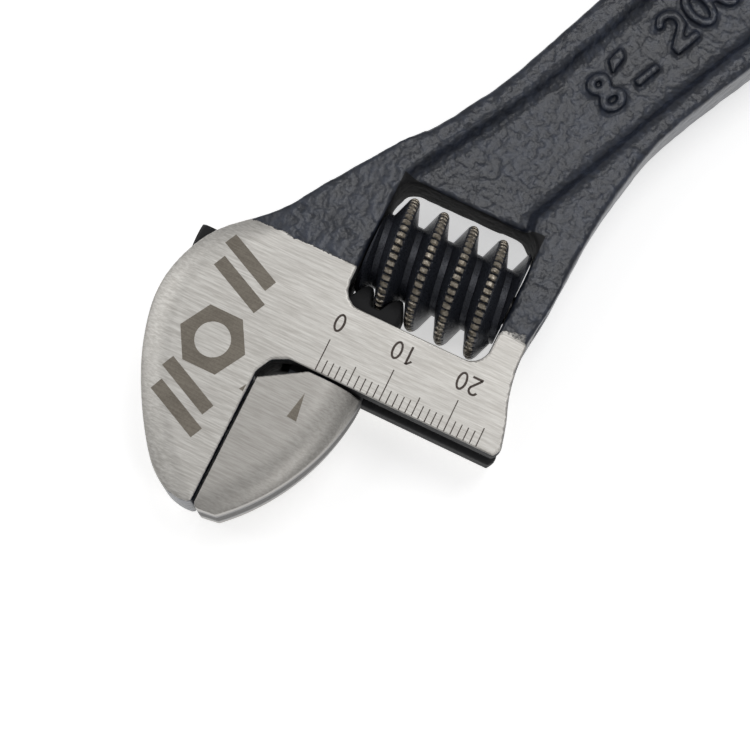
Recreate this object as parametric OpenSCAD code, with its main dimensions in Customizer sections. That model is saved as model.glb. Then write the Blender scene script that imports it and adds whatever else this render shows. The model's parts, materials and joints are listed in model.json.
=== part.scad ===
// Adjustable wrench: a forged body with its fixed jaw, a sliding jaw with a toothed
// round shank, and a thumb worm that turns on a pin and drives the jaw.
//
// Frame: the origin is the centre of the hanging hole, in the middle of the thickness.
// +X runs along the handle to the jaws, +Y to the side the jaw opens, +Z out of a flat face.
// The head has a frame of its own: u runs forward along the jaw faces, v runs the way
// the jaw opens, and its origin is the throat corner of the fixed jaw.

/* [Overall] */
// Length over everything, from the tail to the fixed jaw's nose
overall_len = 200; // [175:1:240]
// Angle between the handle and the jaw faces
head_angle = 24; // [20:0.5:26]
// Thickness across the ground faces of the head
head_thick = 12; // [11.8:0.1:14.5]

/* [Jaws] */
// Widest opening between the jaw faces
capacity = 25; // [20:0.5:26]
// Opening at which the jaw is drawn
rest_gap = 0.4; // [0.2:0.1:2]
// Length of the jaw faces, from the slide face to the nose
jaw_len = 24.4; // [20.5:0.1:29.5]
// Depth of the fixed jaw behind its face
jaw_back = 18.1; // [16:0.1:21.5]
// Width of the sliding jaw along its slide face
jaw_width = 14.6; // [12.2:0.1:17]
// Radius of the sliding jaw's outer edge
jaw_outer_r = 34.4; // [31:0.1:40]
// Half thickness left at the sliding jaw's outer edge, below the crown
jaw_edge_half = 2; // [1.7:0.1:2.4]
// Width of the crowned band along that edge, at the slide face
crown_width = 6.4; // [5.3:0.1:7.6]
// How much narrower the crowned band is at the nose
crown_taper = 3; // [2.5:0.1:3.6]

/* [Shank] */
// Diameter of the sliding jaw's toothed shank
shank_d = 9; // [7.6:0.1:9.4]
// Distance from the slide face to the shank's axis
shank_depth = 11.3; // [11:0.1:13.6]
// Thickness of the neck between the jaw and its shank
neck_thick = 4.8; // [4:0.1:5.7]

/* [Worm] */
// Diameter over the worm's thread
worm_d = 18; // [16.6:0.1:19.4]
// Depth of the worm's thread
thread_depth = 3.5; // [2.9:0.1:3.9]
// Distance from one thread to the next, which is also the lead
pitch = 4.75; // [4.2:0.05:5.5]
// Width of the thread at its crest
crest_width = 1.3; // [1.1:0.1:1.5]
// Length of the worm
worm_len = 21.6; // [18:0.1:25.9]
// Diameter of the pin that the worm turns on
pin_d = 4.4; // [3.7:0.1:4.6]
// Diameter of the pin's slotted head
pin_head_d = 6.4; // [5.6:0.1:7.4]
// Length of the pin's slotted head
pin_head_len = 2.6; // [2.2:0.1:3]
// Depth of the pin's thread in the body
pin_hold = 7; // [5.9:0.1:8.4]

/* [Spring] */
// Wire of the spring that takes up the worm's end play
spring_wire = 0.6; // [0.5:0.05:0.7]
// Mean diameter of the spring
spring_d = 6.2; // [6:0.1:6.5]
// Depth of the spring's seat in the worm
spring_seat = 4.5; // [3.8:0.1:5.4]

/* [Window] */
// Distance from the slide face to the worm's window
lip_depth = 10.8; // [9.5:0.1:11.5]
// Distance from the fixed jaw's face to the window
window_set = 6.3; // [5.3:0.1:7.5]
// Room between the worm's thread and the window's tail side
thumb_gap = 1.7; // [1.2:0.1:2]
// Thickness of the cheek that holds the pin's head
cheek = 4.5; // [4:0.1:5.4]
// Radius in the window's corners
window_r = 3; // [2.2:0.1:3.6]

/* [Handle] */
// Narrowest width of the handle
neck_w = 21.6; // [20:0.1:25]
// Width of the handle at its tail
tail_w = 26; // [23:0.1:31]
// Thickness of the handle over its rims
handle_thick = 9.8; // [9:0.1:11.5]
// Thickness of the web between the two recesses
web_thick = 6; // [5:0.1:7.2]
// Thickness of the web where it meets the window
web_end_thick = 8.2; // [7:0.1:9.4]
// Width of each rim beside the recess
rim_w = 3.6; // [3:0.1:4.3]
// Distance from the hanging hole to the tail
hole_set = 10; // [8.4:0.1:12]
// Diameter of the hanging hole
hole_d = 8.5; // [7.1:0.1:10.2]

/* [Clearances] */
// Room all round the shank and the neck in the body
slide_gap = 0.1; // [0.08:0.01:0.15]
// Room between the sliding jaw and the slide face
face_gap = 0.35; // [0.3:0.05:0.45]
// Room between the worm's thread and the rack
mesh_gap = 0.2; // [0.17:0.01:0.24]
// Room at each end of the worm
end_gap = 0.2; // [0.15:0.05:0.25]
// Room around the pin, in the worm and in the body
pin_gap = 0.05; // [0.03:0.01:0.08]

/* [Hidden] */
$fn = 96;

over = 1;                // how far a cut runs past what it cuts
curve_steps = 5;         // points that a smooth outline adds between two given ones
half_head = head_thick / 2;
half_handle = handle_thick / 2;

// Shank, rack and worm, in the head's frame
shank_r = shank_d / 2;
worm_r = worm_d / 2;
root_r = worm_r - thread_depth;
shank_u = -shank_depth;
worm_u = shank_u - shank_r - mesh_gap - root_r;
rack_root_u = worm_u + worm_r + mesh_gap;
flank = 0.37;            // widening of the thread for each millimetre down from its crest
thread_phase = 3.6;      // from the worm's end to a turn of its thread, on the +Z side
rack_phase = thread_phase + pitch / 4;   // the same on the side that meets the rack
lead_slope = pitch / (2 * PI * (root_r + thread_depth * 0.7));

// Window
window_u0 = worm_u - worm_r - thumb_gap;
window_u1 = -lip_depth;
window_v0 = window_set;
window_v1 = window_v0 + worm_len + 2 * end_gap;
worm_v0 = window_v0 + end_gap;
side_v = window_v1 + cheek;

// Handle
tail_r = tail_w / 2;
tail_x = tail_r - hole_set;

// The fixed jaw's nose and back, from its face round to where the head meets the neck.
// u is a share of the jaw's length ahead of the slide face, and v one of its back.
nose = [for (p = [[0.985, 0], [0.996, -0.03], [1, -0.12], [0.967, -0.27], [0.848, -0.46], [0.594, -0.70],
                  [0.303, -0.895]]) [p[0] * jaw_len, p[1] * jaw_back]];
back = [[-0.2, -jaw_back], [-6.7, -jaw_back * 0.96], [-12.9, -jaw_back * 0.79],
        [-19.3, -jaw_back * 0.42], [-26, -3.3]];
// The head's open side, from the neck to its corner on the slide face.
side = [[-24, side_v + 0.9], [-15.6, side_v], [-9.6, side_v + 0.6], [-4.8, side_v + 2.1],
        [-1.2, side_v + 3]];
corner = [0, side_v + 2.4];

// Throat: the relief between the fixed jaw's face and the slide face.
throat = [[3.3, 0], [1.2, 1.1], [0, 3.5]];

// Places the head so that its nose is overall_len from the tail.
head_reach = max([for (p = nose) p[0] * cos(head_angle) - p[1] * sin(head_angle)]);
head_x = overall_len - hole_set - head_reach;
head_y = -1.8;
neck_x = head_x - 62;
half_neck = neck_w / 2;
half_tail = tail_w / 2;

function to_tool(p) = [head_x + p[0] * cos(head_angle) - p[1] * sin(head_angle),
                       head_y + p[0] * sin(head_angle) + p[1] * cos(head_angle)];

// One point of a smooth curve that passes through b and c, at share t of the way.
function curve_point(a, b, c, d, t) =
    ((2 * b) + (c - a) * t + (2 * a - 5 * b + 4 * c - d) * t * t
     + (3 * b - a - 3 * c + d) * t * t * t) / 2;

// A smooth open curve through all of the points given.
function smooth(pts) = let (n = len(pts)) concat(
    [for (i = [0 : n - 2], k = [0 : curve_steps - 1])
        curve_point(pts[max(i - 1, 0)], pts[i], pts[i + 1], pts[min(i + 2, n - 1)],
                    k / curve_steps)],
    [pts[n - 1]]);

function arc(centre, r, from, to, steps) = [for (k = [0 : steps])
    let (a = from + (to - from) * k / steps) centre + r * [cos(a), sin(a)]];

// Edge of the handle on the side that the jaw opens, tail first, and on the other side.
open_edge = [[neck_x * 0.2, half_tail], [neck_x * 0.55, half_neck + 1.6],
             [neck_x * 0.8, half_neck + 0.5], [neck_x - 6, half_neck],
             [neck_x + 2, half_neck + 0.8], [neck_x + 13, half_neck + 3.5]];
blind_edge = [[neck_x + 28, -half_neck - 2.7], [neck_x + 21, -half_neck - 1],
              [neck_x + 10, -half_neck], [neck_x - 2, -half_neck - 0.2],
              [neck_x * 0.85, -half_neck - 0.9], [neck_x * 0.55, -half_neck - 1.8],
              [neck_x * 0.2, -half_tail]];

body_outline = concat(
    arc([tail_x, 0], tail_r, 270, 90, 36),
    smooth(concat(open_edge, [for (p = side) to_tool(p)])),
    [to_tool(corner)],
    [for (i = [len(throat) - 1 : -1 : 0]) to_tool(throat[i])],
    smooth(concat([for (p = concat(nose, back)) to_tool(p)], blind_edge)));

module in_head() {
    translate([head_x, head_y, 0]) rotate([0, 0, head_angle]) children();
}

// Lays a solid that stands on +Z along the worm, at a height on v and a place on u.
module along_v(u, v) {
    translate([u, v, 0]) rotate([-90, 0, 0]) children();
}

// A closed solid between two rings of points that have the same count.
module loft(low, high) {
    n = len(low);
    polyhedron(
        points = concat(low, high),
        faces = concat(
            [[for (i = [0 : n - 1]) i]],
            [[for (i = [n - 1 : -1 : 0]) n + i]],
            [for (i = [0 : n - 1]) [i, n + i, n + (i + 1) % n, (i + 1) % n]]));
}

// The blank of the forging: the handle's thickness everywhere, and the head's as far as
// the grinding line, from where a flat slope runs down to the handle.
module blank() {
    ground_u = -16.3;
    slope_end = ground_u - 46;
    linear_extrude(handle_thick, center = true) polygon(body_outline);
    intersection() {
        linear_extrude(head_thick, center = true) polygon(body_outline);
        in_head() translate([0, jaw_back * 3, 0]) rotate([90, 0, 0])
            linear_extrude(jaw_back * 6)
                polygon([[jaw_len + over, -half_head], [jaw_len + over, half_head],
                         [ground_u, half_head], [slope_end, half_handle - 0.2],
                         [slope_end, 0.2 - half_handle], [ground_u, -half_head]]);
    }
}

// Half widths of the recess at stations along the handle, from its tail end on.
recess_x0 = tail_x + tail_r + 1;
ramp_x = neck_x + 20;
recess_end_x = neck_x + 34;
draft = 1.2;             // how far the recess's walls lean in over their depth
recess_low_side = [[recess_x0 + 9, rim_w - half_tail + 0.4],
                   [neck_x * 0.55, rim_w - half_neck - 1.5],
                   [neck_x * 0.85, rim_w - half_neck - 0.4], [neck_x + 7, rim_w - half_neck],
                   [ramp_x, rim_w - half_neck - 1]];
recess_high_side = [[ramp_x, half_neck - rim_w + 0.7], [neck_x - 2, half_neck - rim_w + 0.7],
                    [neck_x * 0.8, half_neck - rim_w + 0.9],
                    [neck_x * 0.55, half_neck - rim_w + 1.3],
                    [recess_x0 + 9, half_tail - rim_w - 0.4]];

// Outline of the recess, brought in by a distance.
function recess_ring(inset) = concat(
    [for (p = smooth(recess_low_side)) p + [0, inset]],
    [for (p = smooth(recess_high_side)) p - [0, inset]],
    arc([recess_x0 + 9, 0], 9 - inset, 90, 270, 18));

// Outline of the ramp from the recess's floor up to the window.
function ramp_ring(inset) = [
    [ramp_x - 0.01, rim_w - half_neck - 1 + inset],
    to_tool([window_u0, window_v0]) + [0, inset],
    to_tool([window_u0 + window_r * 2, window_v0 + window_r]),
    to_tool([window_u0 + window_r * 2, window_v1 - window_r]),
    [ramp_x + 4, half_neck - rim_w + 3.4 - inset],
    [ramp_x - 0.01, half_neck - rim_w + 0.7 - inset]];

// One face's recess, cut out of the +Z side.
module recess() {
    floor_z = web_thick / 2;
    rise = (web_end_thick - web_thick) / 2 / (recess_end_x - ramp_x);
    // Height of the ramp's floor at a place on X.
    function ramp_z(x) = floor_z + rise * (x - ramp_x);
    lift = half_head + over;
    wall = draft / (half_handle - floor_z) * (lift - floor_z);
    loft([for (p = recess_ring(draft)) [p[0], p[1], floor_z]],
         [for (p = recess_ring(draft - wall)) [p[0], p[1], lift]]);
    loft([for (p = ramp_ring(draft)) [p[0], p[1], ramp_z(p[0])]],
         [for (p = ramp_ring(draft - wall)) [p[0], p[1], lift]]);
}

// The window for the worm: straight through, with round corners.
module window() {
    for (u = [window_u0 + window_r, window_u1 - window_r],
         v = [window_v0 + window_r, window_v1 - window_r])
        translate([u, v, 0]) cylinder(h = head_thick * 2, r = window_r, center = true);
    translate([(window_u0 + window_u1) / 2, (window_v0 + window_v1) / 2, 0]) {
        cube([window_u1 - window_u0, window_v1 - window_v0 - 2 * window_r, head_thick * 2],
             center = true);
        cube([window_u1 - window_u0 - 2 * window_r, window_v1 - window_v0, head_thick * 2],
             center = true);
    }
}

// The keyhole that guides the jaw: a round channel for the shank, open through a slot.
module keyhole() {
    half_slot = neck_thick / 2 + slide_gap;
    slot_v0 = 2;
    along_v(shank_u, -2 * jaw_back)
        cylinder(h = side_v + 3 * jaw_back, r = shank_r + slide_gap);
    translate([shank_u, slot_v0, -half_slot])
        cube([shank_depth + jaw_len, side_v + jaw_back, 2 * half_slot]);
}

// The pin's way in through the cheek, and its blind hole on the far side of the window.
module pin_holes() {
    along_v(worm_u, window_v0 - pin_hold)
        cylinder(h = side_v + jaw_back, r = pin_d / 2 + pin_gap);
    along_v(worm_u, pin_head_v)
        cylinder(h = jaw_back, r = pin_head_d / 2 + pin_gap);
}
pin_head_v = side_v + 0.3 - pin_head_len;

module hang_hole() {
    chamfer = 0.8;
    cylinder(h = head_thick * 2, d = hole_d, center = true);
    for (side = [0, 1]) mirror([0, 0, side]) translate([0, 0, half_handle - chamfer])
        cylinder(h = chamfer + 0.01, r1 = hole_d / 2, r2 = hole_d / 2 + chamfer + 0.01);
}

module body() {
    color("dimgray") difference() {
        blank();
        for (side = [0, 1]) mirror([0, 0, side]) recess();
        in_head() {
            window();
            keyhole();
            pin_holes();
        }
        hang_hole();
    }
}

// Outline of the sliding jaw, without its round outer edge.
jaw_v = rest_gap;
jaw_outer_v = jaw_v + jaw_width;
module jaw_block() {
    centre_u = -1.2;
    centre_v = jaw_outer_v - sqrt(pow(jaw_outer_r, 2) - pow(face_gap - centre_u, 2));
    inner_r = jaw_outer_r - crown_width;
    crown_steps = 6;
    // A disc whose rim rounds down to the thickness that the jaw has at its outer edge.
    // It stands a little ahead of the outer edge's own arc, so the band narrows to the nose.
    rim = [for (k = [0 : crown_steps]) let (a = 90 * k / crown_steps)
        [inner_r + crown_width * sin(a),
         jaw_edge_half + (half_head - jaw_edge_half) * cos(a)]];
    intersection() {
        translate([0, 0, -half_head]) linear_extrude(head_thick)
            polygon([[face_gap, jaw_v + 6.2], [4.2, jaw_v], [jaw_len - 0.3, jaw_v],
                     [jaw_len + 0.2, jaw_v + 0.5], [jaw_len - 0.3, jaw_v + 4.6],
                     [jaw_len - 3, jaw_outer_v + over], [face_gap, jaw_outer_v + over]]);
        translate([centre_u, centre_v, 0])
            cylinder(h = head_thick, r = jaw_outer_r, center = true, $fn = 180);
        translate([centre_u + crown_taper, centre_v, 0]) rotate_extrude($fn = 180)
            polygon(concat([[0, -half_head]], [for (k = [0 : crown_steps])
                let (p = rim[k]) [p[0], -p[1]]],
                [for (k = [crown_steps : -1 : 0]) rim[k]], [[0, half_head]]));
    }
}

// The gap that one turn of the worm's thread runs in, cut along Z at the thread's lean.
module rack_gap() {
    tip_u = worm_u + root_r - over;
    half_root = crest_width / 2 - mesh_gap * flank + mesh_gap;
    half_tip = half_root + (rack_root_u - tip_u) * flank;
    multmatrix([[1, 0, 0, 0], [0, 1, -lead_slope, 0], [0, 0, 1, 0], [0, 0, 0, 1]])
        linear_extrude(shank_d + 2, center = true)
            polygon([[rack_root_u, -half_root], [rack_root_u, half_root],
                     [tip_u, half_tip], [tip_u, -half_tip]]);
}

// The shank runs from the jaw's outer side back past the worm's far end at full opening.
shank_v0 = window_v0 + 1.4 - (capacity - rest_gap);
shank_v1 = jaw_outer_v;
module shank() {
    end_chamfer = 0.6;
    plain_end = 4;       // length without teeth at the far end
    plain_step = 0.6;    // how far that end stands above the teeth's roots
    first = worm_v0 + rack_phase;
    low = ceil((shank_v0 + plain_end - first) / pitch);
    high = ceil((shank_v1 - first) / pitch);
    difference() {
        along_v(shank_u, shank_v0) rotate_extrude()
            polygon([[0, 0], [shank_r - end_chamfer, 0], [shank_r, end_chamfer],
                     [shank_r, shank_v1 - shank_v0 - end_chamfer],
                     [shank_r - end_chamfer, shank_v1 - shank_v0], [0, shank_v1 - shank_v0]]);
        for (k = [low : high]) translate([0, first + k * pitch, 0]) rack_gap();
        translate([rack_root_u - plain_step - shank_d, shank_v0 - over, -shank_d])
            cube([shank_d, plain_end + over, 2 * shank_d]);
    }
}

module movable_jaw() {
    neck_v0 = jaw_v + 3.2;
    color("silver") in_head() {
        jaw_block();
        translate([shank_u, neck_v0, -neck_thick / 2])
            cube([shank_depth + face_gap + 2, jaw_outer_v - neck_v0 - 0.3, neck_thick]);
        shank();
    }
}

// The worm's stock with its thread, as one skin: a helix of rings of four corners, each
// ring joined to the next, and each turn joined to the one after it along the root.
module screw() {
    steps = 32;
    half_crest = crest_width / 2;
    half_base = half_crest + thread_depth * flank;
    section = [[root_r, -half_base], [worm_r, -half_crest],
               [worm_r, half_crest], [root_r, half_base]];
    start = rack_phase - pitch * (ceil(rack_phase / pitch) + 1);
    last = ceil((worm_len / pitch + 3.2) * steps);
    top = start + pitch * last / steps;
    points = concat(
        [for (i = [0 : last]) let (a = 360 * i / steps)
            for (p = section) [p[0] * cos(a), p[0] * sin(a), start + p[1] + pitch * i / steps]],
        [[0, 0, start - half_base], [0, 0, top + half_base]]);
    low_tip = 4 * (last + 1);
    high_tip = low_tip + 1;
    // Edges of the two open ends, each of which closes on a tip on the axis.
    low_rim = concat([for (i = [steps : -1 : 0]) 4 * i], [1, 2, 3], [4 * steps]);
    high_rim = concat([for (i = [last - steps : last]) 4 * i + 3],
                      [4 * last + 2, 4 * last + 1, 4 * last], [4 * (last - steps) + 3]);
    faces = concat(
        [for (i = [0 : last - 1], k = [0 : 2], half = [0, 1]) let (a = 4 * i + k)
            half == 0 ? [a, a + 4, a + 5] : [a, a + 5, a + 1]],
        [for (i = [0 : last - steps - 1], half = [0, 1])
            let (a = 4 * i + 3, b = 4 * (i + steps))
            half == 0 ? [a, a + 4, b + 4] : [a, b + 4, b]],
        [for (k = [0 : len(low_rim) - 2]) [low_tip, low_rim[k], low_rim[k + 1]]],
        [for (k = [0 : len(high_rim) - 2]) [high_tip, high_rim[k], high_rim[k + 1]]]);
    polyhedron(points = points, faces = faces);
}

module worm() {
    low_chamfer = 2.2;
    high_chamfer = 0.8;
    bore_r = pin_d / 2 + pin_gap;
    seat_r = spring_d / 2 + spring_wire / 2 + 0.3;
    color("darkslategray") in_head() along_v(worm_u, worm_v0) difference() {
        intersection() {
            screw();
            rotate_extrude()
                polygon([[0, 0], [worm_r - low_chamfer, 0], [worm_r + over, low_chamfer + over],
                         [worm_r + over, worm_len - high_chamfer - over],
                         [worm_r - high_chamfer, worm_len], [0, worm_len]]);
        }
        translate([0, 0, -over]) cylinder(h = worm_len + 2 * over, r = bore_r);
        translate([0, 0, worm_len - spring_seat]) cylinder(h = spring_seat + over, r = seat_r);
    }
}

// The pin: a slotted head in the cheek, a plain journal, and a grooved end in the body.
module worm_pin() {
    slot_w = 1.1;
    slot_deep = 1.2;
    end_room = 0.3;
    groove = 0.35;
    groove_pitch = 0.8;
    grooves = floor((pin_hold - 2) / groove_pitch);
    r = pin_d / 2;
    end_v = window_v0 - pin_hold + end_room;
    length = pin_head_v - end_v;
    color("gray") in_head() along_v(worm_u, end_v) difference() {
        union() {
            rotate_extrude() polygon(concat(
                [[0, 0], [r - 0.5, 0], [r, 0.5]],
                [for (k = [0 : grooves - 1], p = [[0, 0.9], [-groove, 1.15], [0, 1.4]])
                    [r + p[0], p[1] + k * groove_pitch]],
                [[r, length + 0.01], [0, length + 0.01]]));
            translate([0, 0, length])
                cylinder(h = pin_head_len - 0.3, r = pin_head_d / 2);
            translate([0, 0, length + pin_head_len - 0.3])
                cylinder(h = 0.3, r1 = pin_head_d / 2, r2 = pin_head_d / 2 - 0.3);
        }
        translate([-pin_head_d, -slot_w / 2, length + pin_head_len - slot_deep])
            cube([2 * pin_head_d, slot_w, slot_deep + over]);
    }
}

// The spring sits on the pin in the worm's seat and bears on the cheek.
module worm_spring() {
    sides = 8;
    steps = 24;
    turns = 5;
    wire_r = spring_wire / 2;
    room = 0.08;         // room at each end, so that the worm turns freely
    free_len = spring_seat + end_gap - 2 * room - spring_wire;
    closed = spring_wire * 1.05;
    open_rise = (free_len - 2 * closed) / (turns - 2);
    // Height of the coil after t turns: one closed turn at each end.
    function rise(t) = closed * min(t, 1) + open_rise * max(0, min(t - 1, turns - 2))
        + closed * max(0, t - turns + 1);
    rings = turns * steps;
    points = [for (i = [0 : rings], k = [0 : sides - 1])
        let (a = 360 * i / steps, b = 360 * k / sides, r = spring_d / 2 + wire_r * cos(b))
        [r * cos(a), r * sin(a), rise(i / steps) + wire_r * sin(b)]];
    faces = concat(
        [[for (k = [0 : sides - 1]) k]],
        [for (i = [0 : rings - 1], k = [0 : sides - 1], half = [0, 1])
            let (a = sides * i + k, b = sides * i + (k + 1) % sides)
            half == 0 ? [a, a + sides, b + sides] : [a, b + sides, b]],
        [[for (k = [sides - 1 : -1 : 0]) sides * rings + k]]);
    color("lightgray") in_head()
        along_v(worm_u, worm_v0 + worm_len - spring_seat + room + wire_r)
            polyhedron(points = points, faces = faces);
}

body();
movable_jaw();
worm();
worm_pin();
worm_spring();
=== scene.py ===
# %% [markdown]
# # An adjustable wrench
# The design of this tool is a set of exact solids: a forged body with its fixed jaw, a
# sliding jaw with a toothed shank, a thumb worm, the pin that the worm turns on, and a
# small spring. This notebook dresses those solids. Each step says what the piece is on
# the real tool, how it could be made in Blender, and why one way was chosen.

# %% Load the solids
import json
import math

import bmesh
import bpy
from mathutils import Matrix, Vector, noise
from mathutils.bvhtree import BVHTree


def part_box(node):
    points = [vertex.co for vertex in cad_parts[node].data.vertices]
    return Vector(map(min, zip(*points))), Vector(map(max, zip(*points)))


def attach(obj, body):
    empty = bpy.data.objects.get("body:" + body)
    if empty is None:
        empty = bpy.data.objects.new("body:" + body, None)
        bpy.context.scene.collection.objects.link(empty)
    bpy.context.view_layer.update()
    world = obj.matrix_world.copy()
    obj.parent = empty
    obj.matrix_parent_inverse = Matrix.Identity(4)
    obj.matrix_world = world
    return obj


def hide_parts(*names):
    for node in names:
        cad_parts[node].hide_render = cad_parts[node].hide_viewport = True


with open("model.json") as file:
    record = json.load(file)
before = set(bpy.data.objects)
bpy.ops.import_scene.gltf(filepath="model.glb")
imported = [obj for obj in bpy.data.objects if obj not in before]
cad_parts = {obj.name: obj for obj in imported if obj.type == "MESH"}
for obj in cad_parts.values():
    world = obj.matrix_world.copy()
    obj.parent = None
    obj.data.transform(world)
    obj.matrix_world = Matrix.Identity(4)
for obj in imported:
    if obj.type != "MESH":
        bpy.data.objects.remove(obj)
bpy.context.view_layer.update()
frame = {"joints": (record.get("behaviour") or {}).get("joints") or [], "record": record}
MM = 0.001

# %% [markdown]
# The head has a frame of its own, because everything in it is square to the jaw faces
# and not to the handle. `u` runs forward along the jaw faces and `v` runs the way the jaw
# opens. The sliding jaw's joint gives the direction of `v`. The origin is the throat
# corner of the fixed jaw: the shank's channel and the thread fix where that is.

# %% The head's frame
joints = {j["name"]: j for j in frame["joints"]}
OPENING = Vector(joints["jaw_slide"]["axis"]).normalized()
UP = Vector((0, 0, 1))
FORWARD = OPENING.cross(UP)
WORM_CENTRE = Vector(joints["worm_spin"]["pos_m"])
WORM_U = -21.5 * MM          # the worm's axis, from the slide face
WORM_V = 17.3 * MM           # the worm's middle, from the fixed jaw's face
THROAT = WORM_CENTRE - FORWARD * WORM_U - OPENING * WORM_V
HEAD = Matrix.Translation(THROAT) @ Matrix((FORWARD, OPENING, UP)).transposed().to_4x4()
HALF_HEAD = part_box("movable_jaw")[1].z


def clamped(share):
    """A share kept between nothing and all."""
    return min(max(share, 0), 1)


print("throat corner", [round(c / MM, 2) for c in THROAT], "half head", round(HALF_HEAD / MM, 2))
print("head angle", round(math.degrees(math.atan2(FORWARD.y, FORWARD.x)), 2))

# %% [markdown]
# ## Shader maths as plain expressions
# A procedural material is a chain of small sums. Wiring each one by hand hides the idea,
# so `Wire` wraps a socket, and Python's own operators add the Math nodes. `Board` holds
# one material's nodes. Every other kind of node comes from its one method, `add`.

# %% Wires and boards
class Wire:
    """A socket of a node tree, on which +, -, *, < and > add Math nodes."""

    def __init__(self, board, socket):
        self.board, self.socket = board, socket

    def math(self, operation, *others):
        inputs = dict(enumerate((self, *others)))
        return self.board.add("ShaderNodeMath", {"operation": operation}, inputs)

    def __add__(self, other): return self.math("ADD", other)
    def __radd__(self, other): return self.math("ADD", other)
    def __sub__(self, other): return self.math("SUBTRACT", other)
    def __mul__(self, other): return self.math("MULTIPLY", other)
    def __rmul__(self, other): return self.math("MULTIPLY", other)
    def __lt__(self, other): return self.math("LESS_THAN", other)
    def __gt__(self, other): return self.math("GREATER_THAN", other)
    def __rsub__(self, other): return (self * -1.0).math("ADD", other)

    def size(self): return self.math("ABSOLUTE")
    def most(self, other): return self.math("MAXIMUM", other)

    def step(self, low, high):
        """0 below low, 1 above high, and a smooth slope between them."""
        return self.board.add("ShaderNodeMapRange", {"interpolation_type": "SMOOTHSTEP"},
                              {"Value": self, "From Min": low, "From Max": high})


class Board:
    """One material: its nodes, and its place on the piece in millimetres."""

    def __init__(self, name):
        self.material = bpy.data.materials.new(name)
        self.material.use_nodes = True
        self.tree = self.material.node_tree
        self.shader = self.tree.nodes["Principled BSDF"]
        self.place = self.add("ShaderNodeTexCoord", out="Object")
        self.mm = self.scaled(self.place, 1 / MM)

    def add(self, kind, settings=(), inputs=(), out=0):
        """A new node, with its settings made first, and one of its outputs as a wire."""
        node = self.tree.nodes.new(kind)
        for name, value in dict(settings).items():
            if name == "stops":
                ramp = node.color_ramp
                for place, colour in value[1:-1]:
                    ramp.elements.new(place).color = colour
                for element, (place, colour) in ((ramp.elements[0], value[0]),
                                                 (ramp.elements[-1], value[-1])):
                    element.position, element.color = place, colour
            else:
                setattr(node, name, value)
        for name, value in dict(inputs).items():
            if isinstance(value, Wire):
                self.tree.links.new(value.socket, node.inputs[name])
            else:
                node.inputs[name].default_value = value
        return Wire(self, node.outputs[out])

    def scaled(self, vector, scale):
        return self.add("ShaderNodeVectorMath", {"operation": "SCALE"},
                        {0: vector, "Scale": scale})

    def along(self, direction, start=(0, 0, 0)):
        """How far the place is along a direction from a start, in millimetres."""
        both = {"operation": "DOT_PRODUCT"}
        reach = self.add("ShaderNodeVectorMath", both, {0: self.mm, 1: direction}, out="Value")
        return reach - Vector(start).dot(direction) / MM

    def vector(self, x, y, z):
        return self.add("ShaderNodeCombineXYZ", inputs={"X": x, "Y": y, "Z": z})

    def noise(self, scale, detail=2.0, roughness=0.5, place=None):
        """Smooth noise from about 0 to 1, with so many waves to the millimetre."""
        return self.add("ShaderNodeTexNoise", inputs={
            "Vector": place or self.mm, "Scale": scale, "Detail": detail,
            "Roughness": roughness})

    def mix(self, amount, a, b):
        """A colour between a and b."""
        return self.add("ShaderNodeMix", {"data_type": "RGBA"}, {0: amount, 6: a, 7: b}, out=2)

    def finish(self, **values):
        """Sends values to the shader. A height is in millimetres and becomes a bump."""
        height = values.pop("height", None)
        if height is not None:
            values["Normal"] = self.add("ShaderNodeBump", inputs={
                "Height": height, "Distance": MM, "Strength": 1.0})
        for name, value in values.items():
            socket = self.shader.inputs[name.replace("_", " ")]
            if isinstance(value, Wire):
                self.tree.links.new(value.socket, socket)
            else:
                socket.default_value = value
        print("material", self.material.name, "has", len(self.tree.nodes), "nodes")
        return self.material


def blend_number(amount, a, b):
    """A number between a and b, where either may be a wire."""
    return amount * b + (1 - amount) * a


# %% [markdown]
# ## Two finishes that share a piece
# The wrench is forged, blasted and painted black. Then the head's faces are ground, which
# leaves satin steel with fine scratches that all run the way the jaw opens. Both finishes
# lie on one forging, so one material holds both and a mask chooses. The paint's skin is
# like orange peel, with waves about a millimetre apart, so it sparkles in soft light. The
# tops of those waves are also painted a lighter blue-grey, which is a painted sheen. The
# scratches are noise that is stretched a hundred times along the opening direction.

# %% Paint and steel
PAINT = (0.009, 0.0115, 0.019, 1)
# painted sheen: the lighter blue-grey that the paint's wave tops are given
PAINTED_SHEEN = (0.037, 0.047, 0.074, 1)
# painted shade: the darker, matt black laid on recesses and hidden walls
PAINTED_SHADE_BLACK = (0.003, 0.003, 0.004, 1)
STEEL = (0.51, 0.497, 0.475, 1)
STEEL_WARM = (0.36, 0.34, 0.312, 1)
STEEL_BRIGHT = (0.70, 0.685, 0.65, 1)
# painted shade: a darker steel, which the steel is mixed towards by a given amount
STEEL_SHADED = (0.22, 0.207, 0.193, 1)


def paint(board):
    """Colour, roughness and height of the black forging paint, with a painted sheen on its wave
    tops.
    """
    peel = board.noise(0.95, detail=1.0, roughness=0.5)
    grain = board.noise(3.4, detail=3.0, roughness=0.6)
    broad = board.noise(0.11, detail=2.0)
    # Painted sheen: the colour turns lighter where the peel waves, which also make the bump, and a
    # broad noise are high.
    colour = board.mix((peel * 0.7 + broad * 0.6 - 0.25).step(0.2, 0.9), PAINT, PAINTED_SHEEN)
    roughness = 0.22 + 0.14 * grain + 0.08 * broad
    height = 0.18 * peel + 0.02 * grain
    return colour, roughness, height


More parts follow.
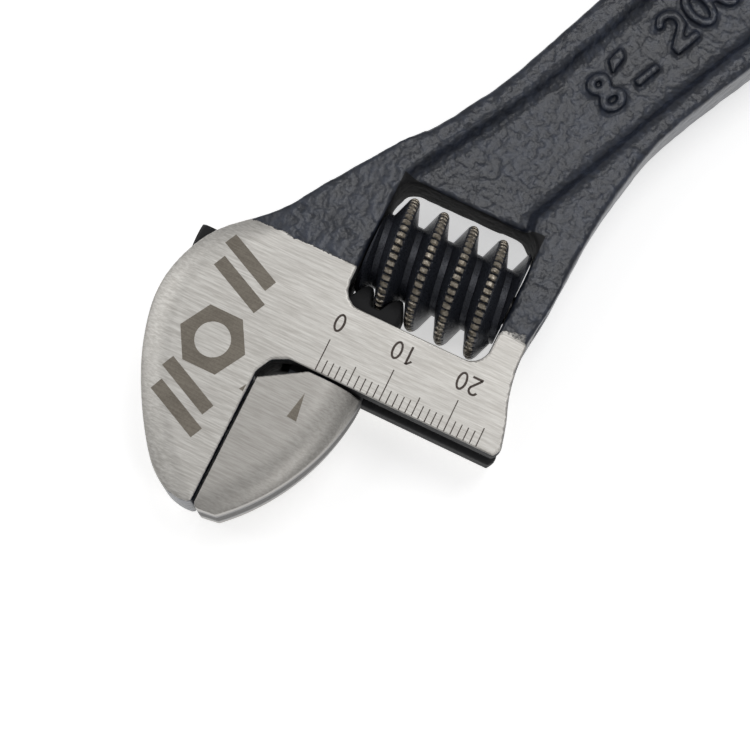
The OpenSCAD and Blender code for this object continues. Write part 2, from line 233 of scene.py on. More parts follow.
def steel(board):
    """Colour, roughness and height of the ground faces."""
    u = board.along(FORWARD, THROAT)
    v = board.along(OPENING, THROAT)
    z = board.along(UP)
    fine = board.noise(1.0, 4.0, 0.65, place=board.vector(u * 4.6, v * 0.28, z * 4.6))
    streak = board.noise(1.0, 2.0, 0.55, place=board.vector(u * 2.2, v * 0.10, z * 2.2))
    cloud = board.noise(0.16, 3.0, 0.55)
    tone = (0.78 * fine + 0.22 * streak).step(0.32, 0.70)
    colour = board.mix(tone, STEEL_WARM, STEEL_BRIGHT)
    colour = board.mix(0.2 + 0.35 * cloud, colour, STEEL)
    roughness = 0.33 + 0.16 * fine + 0.06 * cloud
    height = 0.010 * fine + 0.006 * streak
    return colour, roughness, height


def two_finishes(name, mask_of, painted_shade_of, fade_amount):
    """Steel where the first mask says so, black paint elsewhere, and painted shade: a darker, matt
    black where the second mask says so, and steel darkened by the last amount.
    """
    board = Board(name)
    mask, painted_shade = mask_of(board), painted_shade_of(board)
    colour_p, rough_p, height_p = paint(board)
    # Painted shade: where the second mask is high, the paint turns a darker, matt black.
    colour_p = board.mix(painted_shade, colour_p, PAINTED_SHADE_BLACK)
    rough_p = blend_number(painted_shade, rough_p, 0.8)
    colour_s, rough_s, height_s = steel(board)
    # Painted shade: the steel is darkened towards a darker copy of itself by the given amount.
    colour_s = board.mix(fade_amount, colour_s, STEEL_SHADED)
    return board.finish(
        Base_Color=board.mix(mask, colour_p, colour_s),
        Roughness=blend_number(mask, rough_p, rough_s),
        Metallic=mask * 1.0, IOR=1.52,
        height=blend_number(mask, height_p + 0.05, height_s))


# %% [markdown]
# ## Working on a copy of a solid
# A solid from the design has knife edges. A forging has none, and even a ground face ends
# in a tiny round. Bevelling every edge fails where many of them meet. A voxel remesh gives
# the solid an even skin of small squares instead, and then smoothing a chosen zone a few
# times rounds just that zone: more rounds, a larger radius. The copy is turned into the
# head's frame first, so that the squares line up with the window and the jaw faces.

# %% Copy, remesh, thin and finish
def copy_of(node, into=Matrix()):
    """A new bmesh of a solid, its loose triangles merged into one skin."""
    bm = bmesh.new()
    bm.from_mesh(bpy.data.objects[node].data)
    bmesh.ops.remove_doubles(bm, verts=bm.verts, dist=0.0005 * MM)
    bmesh.ops.transform(bm, matrix=into, verts=bm.verts)
    return bm


def through(bm, name, **settings):
    """Passes a bmesh through one modifier and gives back the new bmesh."""
    mesh = bpy.data.meshes.new("rough")
    bm.to_mesh(mesh)
    bm.free()
    rough = bpy.data.objects.new("rough", mesh)
    bpy.context.scene.collection.objects.link(rough)
    modifier = rough.modifiers.new("step", name)
    for key, value in settings.items():
        setattr(modifier, key, value)
    ready = rough.evaluated_get(bpy.context.evaluated_depsgraph_get())
    result = bmesh.new()
    result.from_mesh(ready.to_mesh())
    ready.to_mesh_clear()
    bpy.data.objects.remove(rough)
    bpy.data.meshes.remove(mesh)
    return result


def thinned(bm, most):
    """The same skin with at most so many triangles."""
    bmesh.ops.triangulate(bm, faces=bm.faces)
    if len(bm.faces) <= most:
        return bm
    return through(bm, "DECIMATE", ratio=most / len(bm.faces))


def soften(bm, rounds, chosen):
    """Smooths the chosen vertices, round by round."""
    verts = [v for v in bm.verts if chosen(v.co)]
    for _ in range(rounds):
        bmesh.ops.smooth_vert(bm, verts=verts, factor=0.5, use_axis_x=True, use_axis_y=True,
                              use_axis_z=True)
    print("  smoothed", len(verts), "points", rounds, "times")


def shade(bm, flat=False):
    """Shades a skin smooth, apart from level faces, which stay truly flat."""
    bm.normal_update()
    for face in bm.faces:
        face.smooth = not (flat and abs(face.normal.z) > 0.99995)


def piece(name, bm, body, slot, material, *stands_for):
    """Makes an object of a finished bmesh and fastens it to its body."""
    mesh = bpy.data.meshes.new(name)
    bm.to_mesh(mesh)
    bm.free()
    mesh.materials.append(material)
    made = bpy.data.objects.new(name, mesh)
    bpy.context.scene.collection.objects.link(made)
    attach(made, body)
    if stands_for:
        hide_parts(*stands_for)
    triangles = sum(len(face.vertices) - 2 for face in mesh.polygons)
    print("piece", name, "has", triangles, "triangles")
    return made


# %% [markdown]
# ## Strokes for numbers and marks
# Numbers are drawn from three strokes: a ring, a bar and an arc. Each is a flat bmesh
# shape. Two circles joined by `bridge_loops` make the ring, a one-square grid the bar, and
# a short edge that spins part of the way round makes the arc. Extruding the lot at the end
# gives closed solids. The figures are plain ones of this notebook's own.

# %% Strokes
CUTS_PER_MM = 1.5            # cuts in a straight stroke, so that it can follow a crown


def scaling(x, y, z=1.0):
    return Matrix.Diagonal((x, y, z, 1))


def bar(bm, start, end, width):
    """A straight stroke from start to end."""
    start, end = Vector((*start, 0)), Vector((*end, 0))
    reach = end - start
    turn = Matrix.Rotation(math.atan2(reach.y, reach.x), 4, "Z")
    cuts, rows = (max(1, round(side * CUTS_PER_MM)) for side in (reach.length, width))
    bmesh.ops.create_grid(bm, x_segments=cuts, y_segments=rows, size=0.5,
                          matrix=Matrix.Translation((start + end) / 2) @ turn
                          @ scaling(reach.length + width * 0.6, width))


def ring(bm, centre, half_x, half_y, width, sides=40):
    """A stroke that closes on itself."""
    place = Matrix.Translation((*centre, 0))
    edges = []
    for inset in (0, width):
        made = bmesh.ops.create_circle(bm, segments=sides, radius=1,
                                       matrix=place @ scaling(half_x - inset, half_y - inset))
        edges += {e for vert in made["verts"] for e in vert.link_edges}
    bmesh.ops.bridge_loops(bm, edges=edges)


def arc(bm, centre, radius, start, turn, width):
    """Part of a round stroke, from one angle on by a turn, both in degrees."""
    a = math.radians(start)
    aim = Vector((math.cos(a), math.sin(a), 0))
    middle = Vector((*centre, 0))
    ends = [bm.verts.new(middle + aim * r) for r in (radius - width, radius)]
    bmesh.ops.spin(bm, geom=[*ends, bm.edges.new(ends)], cent=middle, axis=(0, 0, 1),
                   angle=math.radians(turn), steps=16)


def patch(bm, *corners):
    """A flat shape with straight sides."""
    bm.faces.new([bm.verts.new((x, y, 0)) for x, y in corners])


def figure(bm, mark, centre, height, weight, broad=0.56):
    """Draws one figure in the plane, upright, in the middle of a place."""
    glyph = bmesh.new()
    half, width = height / 2, height * broad
    if mark == "0":
        ring(glyph, (0, 0), width / 2, half, weight)
    if mark == "8":
        ring(glyph, (0, -half * 0.47), width / 2, half * 0.53, weight)
        ring(glyph, (0, half * 0.5), width * 0.44, half * 0.5, weight)
    if mark == "1":
        bar(glyph, (0.05 * height, -half + weight / 3), (0.05 * height, half - weight / 3), weight)
        bar(glyph, (0, half - weight * 0.5), (-0.17 * height, half - 0.24 * height), weight * 0.9)
    if mark == "2":
        radius = width / 2
        arc(glyph, (0, half - radius), radius, 165, -200, weight)
        bar(glyph, (radius * 0.62, half - radius * 1.5), (-radius * 0.75, weight - half), weight)
        bar(glyph, (-radius * 0.9, weight / 2 - half), (radius * 0.9, weight / 2 - half), weight)
    if mark == "-":
        bar(glyph, (-width * 0.42, 0), (width * 0.42, 0), weight)
    bmesh.ops.transform(glyph, matrix=Matrix.Translation((*centre, 0)), verts=glyph.verts)
    join(bm, glyph)


def join(bm, other, matrix=Matrix()):
    """Adds one bmesh to another."""
    bmesh.ops.transform(other, matrix=matrix, verts=other.verts)
    mesh = bpy.data.meshes.new("joined")
    other.to_mesh(mesh)
    other.free()
    bm.from_mesh(mesh)
    bpy.data.meshes.remove(mesh)


def thicken(bm, depth):
    """Turns flat strokes into closed solids that reach down by a depth."""
    bmesh.ops.remove_doubles(bm, verts=bm.verts, dist=1e-5)
    bmesh.ops.recalc_face_normals(bm, faces=bm.faces)
    flipped = [f for f in bm.faces if f.normal.z < 0]
    bmesh.ops.reverse_faces(bm, faces=flipped)
    grown = bmesh.ops.extrude_face_region(bm, geom=list(bm.faces), use_keep_orig=True)
    lowered = [g for g in grown["geom"] if isinstance(g, bmesh.types.BMVert)]
    bmesh.ops.translate(bm, vec=(0, 0, -depth), verts=lowered)
    bmesh.ops.recalc_face_normals(bm, faces=bm.faces)


# %% [markdown]
# ## The forged body
# The body is one forging: handle, neck, fixed jaw and the lip that the sliding jaw runs
# on. The handle's size is raised on the floor of its recess, in inches and millimetres, so
# those figures join the copy before the remesh and melt into it. Edges of the handle are
# rounder than those of the machined window, and the ground faces have hardly any round.
# Behind the fixed jaw, grinding by hand leaves a crown: the face falls away over the last
# few millimetres to the outline. Two circles follow that outline closely.

# %% The crown of the fixed jaw
GRIND_U = -16.3              # where the ground faces end, on u
FACE_U = 0.35                # where the sliding jaw's slide face is
CROWN_BAND = 4.2
CROWN_DROP = 1.05
# u, v and radius of the circles along the jaw's round back and its long front edge
JAW_CIRCLES = ((-1.46, 1.05, 19.2), (-9.9, 28.5, 47.9))
LEVEL = 4.7                  # the crown only takes metal above this height
CROWN_TOP_V = -4             # the back's crown is gone from here on, towards the neck
CROWN_FADE = 4               # how far before that, and behind the ground faces, it fades
FRONT_FROM_U = 3             # ahead of this only the front circle counts
FRONT_REACH = 24.46          # how far behind that the front circle still counts
FRONT_TOP_V = 2              # and how far up
FULL = HALF_HEAD / MM


def crown_drop(u, v):
    """How far the ground face lies below its level, at a place on the fixed jaw."""
    back, front = (clamped((CROWN_BAND - radius + math.hypot(u - centre_u, v - centre_v))
                           / CROWN_BAND) for centre_u, centre_v, radius in JAW_CIRCLES)
    back *= clamped((CROWN_TOP_V - v) / CROWN_FADE) * clamped((u - GRIND_U) / CROWN_FADE + 1)
    if u >= FRONT_FROM_U:
        back = 0
    if u <= FRONT_FROM_U - FRONT_REACH or v >= FRONT_TOP_V:
        front = 0
    return CROWN_DROP * max(back, front) ** 2


# %% Raised figures for the handle
SIZE_MARKS = (("8", 103.4, 0.0), ("-", 96.9, 1.9), ("2", 89.0, -0.7), ("0", 83.9, -0.9),
              ("0", 79.1, -1.1))
INCH_SIGN = ((-99.8, 3.5), (-97.05, 3.8), (-97.6, 2.2), (-100.8, 1.5))
RAISED_TOP = 4.0             # height of the raised figures, from the middle of the handle
FIGURE_HEIGHT = 6.5

raised = bmesh.new()
for mark, x, y in SIZE_MARKS:
    figure(raised, mark, (-x, -y), FIGURE_HEIGHT, 1.2, broad=0.68)
patch(raised, *INCH_SIGN)
thicken(raised, 1.6)
bmesh.ops.transform(raised, verts=raised.verts, matrix=scaling(-MM, -MM, MM)
                    @ Matrix.Translation((0, 0, RAISED_TOP)))
print("raised figures have", len(raised.faces), "faces")

# %% The forging
BODY_VOXEL = 0.3 * MM
forging = copy_of("body")
join(forging, raised)
bmesh.ops.transform(forging, matrix=HEAD.inverted(), verts=forging.verts)
forging = through(forging, "REMESH", mode="VOXEL", voxel_size=BODY_VOXEL)
print("even skin:", len(forging.verts), "points")


def handle_x(co):
    """How far a point of the head's frame is along the handle, in millimetres."""
    return (HEAD @ co).x / MM


def near_figures(co):
    place = HEAD @ co / MM
    return co.z > 0 and 74 < place.x < 109 and abs(place.y) < 5


soften(forging, 2, lambda co: True)
soften(forging, 4, lambda co: (co.x < GRIND_U * MM or abs(co.z) < (FULL - 0.4) * MM)
       and not near_figures(co))
soften(forging, 16, lambda co: handle_x(co) < 128 and not near_figures(co))

# %% Forging texture and crown
forging.normal_update()
for vert in forging.verts:
    u, v, z = vert.co / MM
    fade_amount = clamped((GRIND_U - u) / 0.4)
    wave = noise.noise(vert.co / MM / 6) * 0.09 + noise.noise(vert.co / MM / 1.7) * 0.07
    vert.co += vert.normal * fade_amount * (wave - 0.05) * MM
    drop = crown_drop(u, v)
    if drop > 0 and abs(z) > LEVEL:
        kept = (FULL - LEVEL - drop) / (FULL - LEVEL)
        vert.co.z = math.copysign(LEVEL + (abs(z) - LEVEL) * kept, z) * MM

forging = thinned(forging, 192000)
ground = forging.verts.layers.float.new("ground")
for vert in forging.verts:
    u, v, z = vert.co / MM
    vert[ground] = abs(z) - (FULL - crown_drop(u, v))
shade(forging, flat=True)
bmesh.ops.transform(forging, matrix=HEAD, verts=forging.verts)


# %% Finish of the body
def body_mask(board):
    """1 on the ground faces, up to the ragged edge of the paint."""
    u = board.along(FORWARD, THROAT)
    v = board.along(OPENING, THROAT)
    height = board.add("ShaderNodeAttribute", {"attribute_name": "ground"}, out="Fac")
    ragged = (board.noise(0.45, 3.0, 0.6) - 0.5) * 0.9 + (board.noise(2.6, 2.0, 0.6) - 0.5) * 0.5
    sag = 1.9 * v.step(26.0, 34.0)
    ahead = (u + sag + ragged).step(GRIND_U - 0.08, GRIND_U + 0.08)
    chipped = height + (board.noise(3.0, 2.0, 0.6) - 0.5) * 0.14
    return ahead * chipped.step(-0.19, -0.09)


def within(board, low_u, high_u, low_v, high_v):
    """1 below the ground faces, inside a rectangle of the head's frame."""
    u = board.along(FORWARD, THROAT)
    v = board.along(OPENING, THROAT)
    deep = board.along(UP).size() < FULL - 0.3
    return (u > low_u) * (u < high_u) * (v > low_v) * (v < high_v) * deep


WINDOW = (-32.35, -10.6, 6.15, 28.45)    # lowest and highest u, lowest and highest v
THROAT_AND_SLOT = (-16.0, 4.2, -0.3, 60.0)
SHANK_SIDE = (-40.0, FACE_U + 0.3, -30.0, 60.0)


def body_painted_shade(board):
    """Painted shade: 1 on the walls of the window and of the throat, which are painted a darker,
    matt black.
    """
    return within(board, *WINDOW).most(within(board, *THROAT_AND_SLOT))


# The body's steel is darkened only slightly, by 0.04, towards its painted shade.
body_finish = two_finishes("paint_and_ground_faces", body_mask, body_painted_shade, 0.04)
forged_body = piece("forged_body", forging, "wrench_body", "forged_black", body_finish, "body")

# %% [markdown]
# ## The sliding jaw
# The jaw and its toothed shank are one piece too. Its outer edge is crowned, and the copy
# of the solid shows that crown as six flat strips, so after the remesh each point of the
# band is put on the true curve: height as a cosine of the way out. Only the ground parts
# are bright. The neck, the shank with its rack, and the relief by the throat stay black.
# Painted shade darkens more of the jaw: its gripping face and the low part of its steep crown are
# painted black, its outer side and shank a darker matt black, and all its steel is darker than the
# fixed jaw's.

# %% The jaw's skin
JAW_VOXEL = 0.2 * MM
OUTER_RADIUS = 34.4
sliding = copy_of("movable_jaw", HEAD.inverted())
OUTER_V = max(v.co.y for v in sliding.verts) / MM
JAW_FACE_V = min(v.co.y for v in sliding.verts if v.co.x > 10 * MM) / MM
OUTER_CENTRE = (-1.2, OUTER_V - math.sqrt(OUTER_RADIUS ** 2 - (FACE_U + 1.2) ** 2))
CROWN_CENTRE_U = OUTER_CENTRE[0] + 3
JAW_BAND = 6.4
JAW_EDGE = 2.0               # half thickness at the outer edge
print("jaw face at", round(JAW_FACE_V, 2), "outer side at", round(OUTER_V, 2))

sliding = through(sliding, "REMESH", mode="VOXEL", voxel_size=JAW_VOXEL)
soften(sliding, 2, lambda co: True)
soften(sliding, 14, lambda co: (co - Vector((FACE_U, OUTER_V, co.z / MM)) * MM).length < 1.6 * MM)


# %% The jaw's crown
def jaw_height(u, v):
    """Height of the jaw's upper face above its middle, at a place."""
    room = OUTER_RADIUS - math.hypot(u - CROWN_CENTRE_U, v - OUTER_CENTRE[1])
    out = clamped(1 - room / JAW_BAND)
    return JAW_EDGE + (FULL - JAW_EDGE) * math.sqrt(1 - out * out)


sliding.normal_update()
for vert in sliding.verts:
    u, v, z = vert.co / MM
    true = jaw_height(u, v)
    if u > FACE_U and true < FULL and abs(abs(z) - true) < 0.3 and abs(vert.normal.z) > 0.45:
        vert.co.z = math.copysign(true, z) * MM
sliding = thinned(sliding, 150000)
shade(sliding, flat=True)
bmesh.ops.transform(sliding, matrix=HEAD, verts=sliding.verts)


# %% Finish of the jaw
def jaw_mask(board):
    """1 on the jaw's ground faces and round its outer side, with painted shade: only a quarter low
    on the steep crown and none on the gripping face.
    """
    u = board.along(FORWARD, THROAT)
    v = board.along(OPENING, THROAT)
    z = board.along(UP).size()
    ragged = (board.noise(2.4, 2.0, 0.6) - 0.5) * 0.3
    relief = ((u - FACE_U) * 0.85 + (v - JAW_FACE_V - 6.2) * 0.528 + ragged).step(0.12, 0.3)
    # Painted shade: the gripping face, which faces the fixed jaw, is left black paint.
    face = (v - JAW_FACE_V + ragged).step(0.08, 0.2)
    on_top = (z + ragged * 0.5).step(FULL - 0.22, FULL - 0.1)
    # Painted shade: low on the steep crown the steel is mostly black paint, darker where the crown
    # turns down.
    steep_crown_shade = 0.25 + 0.75 * (z + ragged).step(JAW_EDGE + 0.1, JAW_EDGE + 2.0)
    return (u > FACE_U + 0.12) * on_top.most(relief * face * steep_crown_shade)


def jaw_painted_shade(board):
    """Painted shade: 1 on the shank and on the faces that meet the body, 0.8 round the thin outer
    side.
    """
    outer_side = board.along(UP).size() < JAW_EDGE
    return within(board, *SHANK_SIDE).most(0.8 * outer_side)


# Painted shade: the jaw's steel is darkened 0.42 of the way to a darker steel, so it looks darker
# than the fixed jaw's.
jaw_finish = two_finishes("paint_and_ground_jaw", jaw_mask, jaw_painted_shade, 0.42)
piece("sliding_jaw", sliding, "jaw", "ground_steel", jaw_finish, "movable_jaw")

# %% [markdown]
# ## The thumb worm
# The worm is one thread wound on a core, with its crest cut by fifty notches in a
# turn so that a thumb can grip it. `spin` with a rise at each step winds a profile of one
# pitch into the whole screw: each turn's end meets the next one's start, and merging those
# points closes the skin. Every fourth step the crest's points drop inwards, which cuts the
# notches. Two `bisect_plane` cuts square the ends, and a Boolean with a turned envelope
# rounds them off and drills the bore and the spring's seat.

# %% The screw
coupling = abs(next(c["ratio"] for c in frame["record"]["behaviour"]["couplings"]))
LEAD = 2 * math.pi / coupling / MM
WORM_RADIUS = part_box("worm")[1].z / MM
ROOT_RADIUS = WORM_RADIUS - 3.5
WORM_LENGTH = 21.6
PHASE = 3.6 + LEAD / 4       # from the worm's low end to its thread, on the side of the rack
STEPS = 200
TURNS = 7
NOTCH = 0.45
HALF_PROFILE = ((ROOT_RADIUS, 1.93), (ROOT_RADIUS + 0.25, 1.78), (WORM_RADIUS - 0.55, 0.8),
                (WORM_RADIUS - 0.2, 0.54), (WORM_RADIUS, 0.2))
PROFILE = [(r, -rise) for r, rise in HALF_PROFILE] + list(reversed(HALF_PROFILE))

screw = bmesh.new()
low = PHASE - 2 * LEAD
ends = [screw.verts.new((r, 0, low + rise)) for r, rise in PROFILE]
ends.append(screw.verts.new((ROOT_RADIUS, 0, low + LEAD - 1.93)))
for a, b in zip(ends, ends[1:]):
    screw.edges.new((a, b))
bmesh.ops.spin(screw, geom=screw.verts[:] + screw.edges[:], cent=(0, 0, 0), axis=(0, 0, 1),
               dvec=(0, 0, LEAD / STEPS), angle=2 * math.pi * TURNS, steps=STEPS * TURNS)
bmesh.ops.remove_doubles(screw, verts=screw.verts, dist=0.002)
for vert in screw.verts:
    radius = math.hypot(vert.co.x, vert.co.y)
    step = round(math.atan2(vert.co.y, vert.co.x) / (2 * math.pi) * STEPS)
    if radius > WORM_RADIUS - 0.5 and step % 4 == 0:
        vert.co.xy *= (radius - NOTCH) / radius
for height, side in ((-1.0, 1), (WORM_LENGTH + 1.0, -1)):
    geometry = screw.verts[:] + screw.edges[:] + screw.faces[:]
    bmesh.ops.bisect_plane(screw, geom=geometry, dist=1e-4, plane_co=(0, 0, height),
                           plane_no=(0, 0, side), clear_inner=True)
bmesh.ops.holes_fill(screw, edges=[e for e in screw.edges if e.is_boundary])
bmesh.ops.recalc_face_normals(screw, faces=screw.faces)
print("screw:", len(screw.faces), "faces,", sum(e.is_boundary for e in screw.edges), "open edges")

# %% The turned envelope
BORE = 2.25
SEAT = 3.7
SEAT_DEPTH = 4.5
LOW_CUT = 2.2
HIGH_CUT = 0.8
rim = WORM_RADIUS + 1
OUTLINE = ((BORE, 0), (WORM_RADIUS - LOW_CUT, 0), (rim, LOW_CUT + 1),
           (rim, WORM_LENGTH - HIGH_CUT - 1), (WORM_RADIUS - HIGH_CUT, WORM_LENGTH),
           (SEAT, WORM_LENGTH), (SEAT, WORM_LENGTH - SEAT_DEPTH),
           (BORE, WORM_LENGTH - SEAT_DEPTH), (BORE, 0))
envelope = bmesh.new()
ends = [envelope.verts.new((r, 0, z)) for r, z in OUTLINE[:-1]]
for a, b in zip(ends, ends[1:] + ends[:1]):
    envelope.edges.new((a, b))
bmesh.ops.spin(envelope, geom=envelope.verts[:] + envelope.edges[:], cent=(0, 0, 0),
               axis=(0, 0, 1), angle=2 * math.pi, steps=96, use_merge=True)
bmesh.ops.recalc_face_normals(envelope, faces=envelope.faces)
tool_mesh = bpy.data.meshes.new("envelope")
envelope.to_mesh(tool_mesh)
envelope.free()
envelope_object = bpy.data.objects.new("envelope", tool_mesh)
bpy.context.scene.collection.objects.link(envelope_object)
screw = through(screw, "BOOLEAN", operation="INTERSECT", solver="EXACT", object=envelope_object)
bpy.data.objects.remove(envelope_object)

# %% The worm in its window
ALONG_V = Matrix.Rotation(-math.pi / 2, 4, "X")
worm_low = Vector((WORM_U, WORM_V - WORM_LENGTH / 2 * MM, 0))
bmesh.ops.transform(screw, verts=screw.verts,
                    matrix=HEAD @ Matrix.Translation(worm_low) @ ALONG_V @ scaling(MM, MM, MM))
bmesh.ops.remove_doubles(screw, verts=screw.verts, dist=0.002 * MM)
screw.normal_update()
for face in screw.faces:
    face.smooth = False
solid = BVHTree.FromBMesh(copy_of("worm"))
gaps = [solid.find_nearest(v.co)[3] / MM for v in screw.verts]
print("worm skin is", round(max(gaps), 2), "mm at most from the solid, on average",
      round(sum(gaps) / len(gaps), 3))


# %% Finish of the worm
def worm_material():
    """Blackened steel, worn to a brown grey on the crests, with painted glints of lighter
    blue-grey on the grain's high points.
    """
    board = Board("worn_black_worm")
    u = board.along(FORWARD, THROAT) - WORM_U / MM
    z = board.along(UP)
    radius = (u * u + z * z).math("SQRT")
    breakup = board.noise(1.6, 3.0, 0.65)
    from_middle = (board.along(OPENING, THROAT) - WORM_V / MM).size()
    handled = 1 - from_middle.step(WORM_LENGTH / 2 - 2.2, WORM_LENGTH / 2 - 1.2)
    worn = (radius + (breakup - 0.5) * 0.5).step(WORM_RADIUS - 0.36, WORM_RADIUS - 0.12) * handled
    grain = board.noise(5.0, 3.0, 0.6)
    # Painted glints: the blackened colour turns a lighter blue-grey where the grain, which also
    # makes the bump, is high.
    dark = board.mix(grain.step(0.3, 0.75), (0.013, 0.014, 0.019, 1), (0.048, 0.053, 0.068, 1))
    bare = board.mix(breakup.step(0.35, 0.7), (0.19, 0.165, 0.13, 1), (0.40, 0.36, 0.30, 1))
    return board.finish(
        Base_Color=board.mix(worn, dark, bare),
        Metallic=0.35 + 0.55 * worn,
        Roughness=0.22 + 0.14 * grain,
        height=0.05 * grain + 0.06 * breakup)


piece("knurled_worm", screw, "thumb_worm", "worm_black", worm_material(), "worm")

# %% [markdown]
# ## The pin and its spring
# These two solids already have their real shape, so they stay and only get a finish: a
# turned steel pin, and bright drawn wire. Turning leaves rings round the axis, so the
# noise is stretched everywhere but along it.

# %% Finish of the pin and the spring
def turned_metal(name, dark, light, roughness):
    """Bare metal with fine marks round the worm's axis."""
    board = Board(name)
    v = board.along(OPENING, THROAT)
    rings = board.noise(1.0, 3.0, 0.6, place=board.vector(v * 6.0, v * 0.0, v * 0.0))
    cloud = board.noise(0.8, 3.0, 0.6)
    return board.finish(
        Base_Color=board.mix((0.6 * rings + 0.4 * cloud).step(0.3, 0.7), dark, light),
        Metallic=1.0, Roughness=roughness + 0.15 * cloud, height=0.008 * rings)


for node, dark, light, roughness in (
        ("worm_pin", (0.12, 0.115, 0.11, 1), (0.30, 0.29, 0.28, 1), 0.34),
        ("worm_spring", (0.36, 0.36, 0.37, 1), (0.58, 0.58, 0.57, 1), 0.24)):
    solid_mesh = bpy.data.objects[node].data
    solid_mesh.materials.clear()
    solid_mesh.materials.append(turned_metal(node + "_metal", dark, light, roughness))

# %% [markdown]
# ## Etched marks
# The ground face carries etched marks: a millimetre scale for the opening, with 0, 10 and
# 20, a pointer on the sliding jaw, and a large decoration on the fixed jaw. The decoration
# here is a hexagon nut between slanted bars, which names no maker. Etching has no depth to
# speak of, but a separate thin skin keeps its edge sharp from any distance, where a mask
# in the steel's material would need a curve for each figure. Each skin stands a fiftieth
# of a millimetre proud of the face.

# %% Etching helpers
PROUD = 0.02


def etched(name, marks, body, height_at, material):
    """Lays flat marks, drawn in u and v, on a ground face."""
    thicken(marks, 0.05)
    for vert in marks.verts:
        u, v, z = vert.co
        vert.co.z = z + height_at(u, v) + PROUD
    bmesh.ops.transform(marks, matrix=HEAD @ scaling(MM, MM, MM), verts=marks.verts)
    return piece(name, marks, body, "ground_steel", material)


def etch_material(name, dark, light):
    """A dull burnt brown with the steel's scratches still faint in it."""
    board = Board(name)
    u = board.along(FORWARD, THROAT)
    v = board.along(OPENING, THROAT)
    brushed = board.noise(1.0, 3.0, 0.6, place=board.vector(u * 5.0, v * 0.3, 0.0))
    grain = board.noise(3.2, 3.0, 0.65)
    cloud = board.noise(0.25, 2.0)
    tone = (0.4 * brushed + 0.35 * grain + 0.25 * cloud).step(0.35, 0.65)
    return board.finish(Base_Color=board.mix(tone, dark, light), Metallic=0.25,
                        Roughness=0.5 + 0.2 * grain, height=0.012 * grain)


etch_brown = etch_material("etched_brown", (0.145, 0.125, 0.100, 1), (0.235, 0.21, 0.172, 1))
etch_dark = etch_material("etched_dark", (0.045, 0.033, 0.028, 1), (0.085, 0.066, 0.055, 1))

# %% The opening scale
SCALE_V = 7.3                # the zero of the scale, from the fixed jaw's face
scale = bmesh.new()
for tick in range(26):
    length = 5.0 if tick % 10 == 0 else 3.0 if tick % 5 == 0 else 2.1
    bar(scale, (-0.2, SCALE_V + tick), (-length, SCALE_V + tick), 0.16)
TO_SCALE = Matrix(((0, 1, 0, 0), (-1, 0, 0, 0), (0, 0, 1, 0), (0, 0, 0, 1)))
for text, v in (("0", 7.5), ("10", 17.5), ("20", 27.6)):
    for place, mark in enumerate(text):
        number = bmesh.new()
        figure(number, mark, ((place - (len(text) - 1) / 2) * 2.0, 0), 2.8, 0.34)
        join(scale, number, Matrix.Translation((-7.8, v, 0)) @ TO_SCALE)
etched("opening_scale", scale, "wrench_body", lambda u, v: FULL - crown_drop(u, v), etch_dark)

# %% Pointer
pointer = bmesh.new()
patch(pointer, (3.44, 7.48), (7.53, 6.63), (7.64, 8.15))
etched("jaw_pointer", pointer, "jaw", jaw_height, etch_brown)

# %% The decoration
motif = bmesh.new()
hexagon = bmesh.ops.create_circle(motif, segments=6, radius=5.1,
                                  matrix=Matrix.Translation((2.2, -7.6, 0)))
outer = {e for vert in hexagon["verts"] for e in vert.link_edges}
bmesh.ops.subdivide_edges(motif, edges=list(outer), cuts=5)
outer = [e for e in motif.edges]
hole = bmesh.ops.create_circle(motif, segments=36, radius=2.6,
                               matrix=Matrix.Translation((2.2, -7.6, 0)))
inner = {e for vert in hole["verts"] for e in vert.link_edges}
bmesh.ops.bridge_loops(motif, edges=outer + list(inner))
for middle_u in (-10.2, -6.6, 9.6, 13.2):
    bar(motif, (middle_u - 1.7, -11.4), (middle_u + 1.7, -4.2), 2.0)
patch(motif, (6.92, -1.13), (5.88, -0.46), (7.01, -0.46))
etched("decoration", motif, "wrench_body", lambda u, v: FULL - crown_drop(u, v), etch_brown)

# %% [markdown]
# ## Studio
# The wrench lies on a pale table under soft light. The camera looks down on the head,
# and it is turned until the handle leaves by the upper right corner. A camera is a
# rotation whose columns are its right, its up and its backward directions, so a point to
# look at and a roll say all of it. A dim world fills the shadows. The box overhead stands
# towards the tail, where the flat faces mirror it. One box on each side lights the crowned
# edges of the jaws, which lean away from the first.

# %% Camera
EYE = Vector((195.0, 45.3, 256.0)) * MM
TARGET = Vector((157.35, 10.8, 6.0)) * MM
ROLL_UP = Vector((-0.631, -0.750, 0.198))
ANGLE_OF_VIEW = math.radians(23.385)

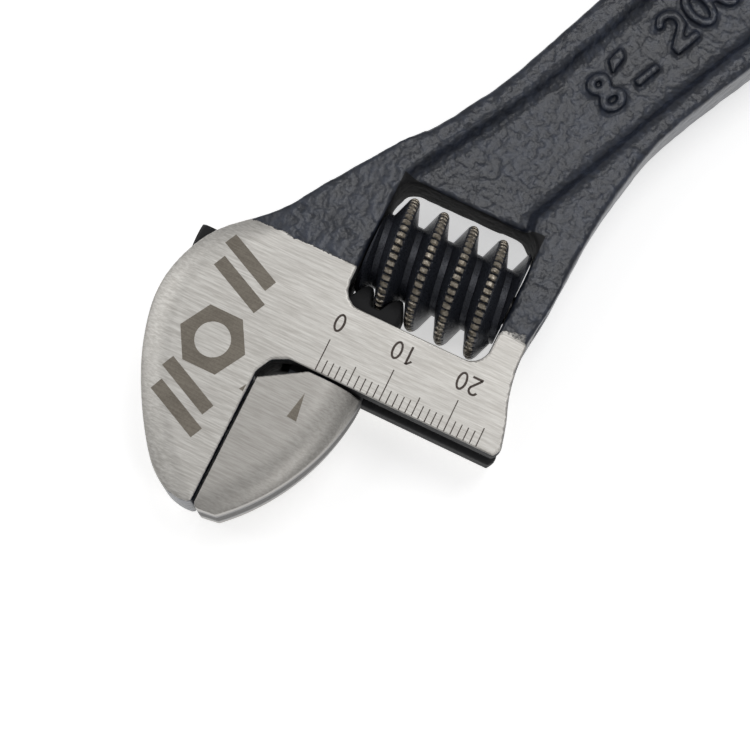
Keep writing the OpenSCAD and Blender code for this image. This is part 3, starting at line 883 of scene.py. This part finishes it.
camera_data = bpy.data.cameras.new("camera")
camera_data.sensor_fit = "HORIZONTAL"
camera_data.angle = ANGLE_OF_VIEW
camera_data.clip_start = 0.01
camera = bpy.data.objects.new("camera", camera_data)
bpy.context.scene.collection.objects.link(camera)
backward = (EYE - TARGET).normalized()
right = ROLL_UP.cross(backward).normalized()
view_up = backward.cross(right)
turn = Matrix((right, view_up, backward)).transposed().to_4x4()
camera.matrix_world = Matrix.Translation(EYE) @ turn
bpy.context.scene.camera = camera
print("camera stands", round((EYE - TARGET).length / MM), "mm from the head")

# %% Light
bpy.context.scene.view_settings.view_transform = "Standard"


def soft_box(name, place, size, power):
    """A square light that faces the head from a place given in millimetres."""
    data = bpy.data.lights.new(name, "AREA")
    data.shape = "SQUARE"
    data.size = size * MM
    data.energy = power
    lamp = bpy.data.objects.new(name, data)
    bpy.context.scene.collection.objects.link(lamp)
    aim = (Vector(place) * MM - TARGET).to_track_quat("Z", "Y").to_matrix().to_4x4()
    lamp.matrix_world = Matrix.Translation(Vector(place) * MM) @ aim


world = bpy.data.worlds.new("studio")
bpy.context.scene.world = world
world.use_nodes = True
world.node_tree.nodes["Background"].inputs["Color"].default_value = (1, 1, 1, 1)
world.node_tree.nodes["Background"].inputs["Strength"].default_value = 0.40
overhead = TARGET / MM + (-0.38 * FORWARD + 0.06 * OPENING + 0.92 * UP) * 1000
soft_box("overhead", overhead, 380, 1.75)
beside = TARGET / MM + (-0.1 * FORWARD - 0.7 * OPENING + 0.7 * UP) * 1000
soft_box("beside", beside, 620, 1.7)
opposite = TARGET / MM + (0.2 * FORWARD + 0.62 * OPENING + 0.76 * UP) * 1000
soft_box("opposite", opposite, 260, 0.9)

# %% Table
bm = bmesh.new()
bmesh.ops.create_grid(bm, x_segments=1, y_segments=1, size=1.5,
                      matrix=Matrix.Translation((0, 0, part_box("worm")[0].z)))
floor_mesh = bpy.data.meshes.new("table")
bm.to_mesh(floor_mesh)
bm.free()
table_board = Board("white_table")
floor_mesh.materials.append(table_board.finish(
    Base_Color=(0.85, 0.85, 0.85, 1), Roughness=0.9, Emission_Color=(1, 1, 1, 1),
    Emission_Strength=0.54))
table = bpy.data.objects.new("table", floor_mesh)
bpy.context.scene.collection.objects.link(table)
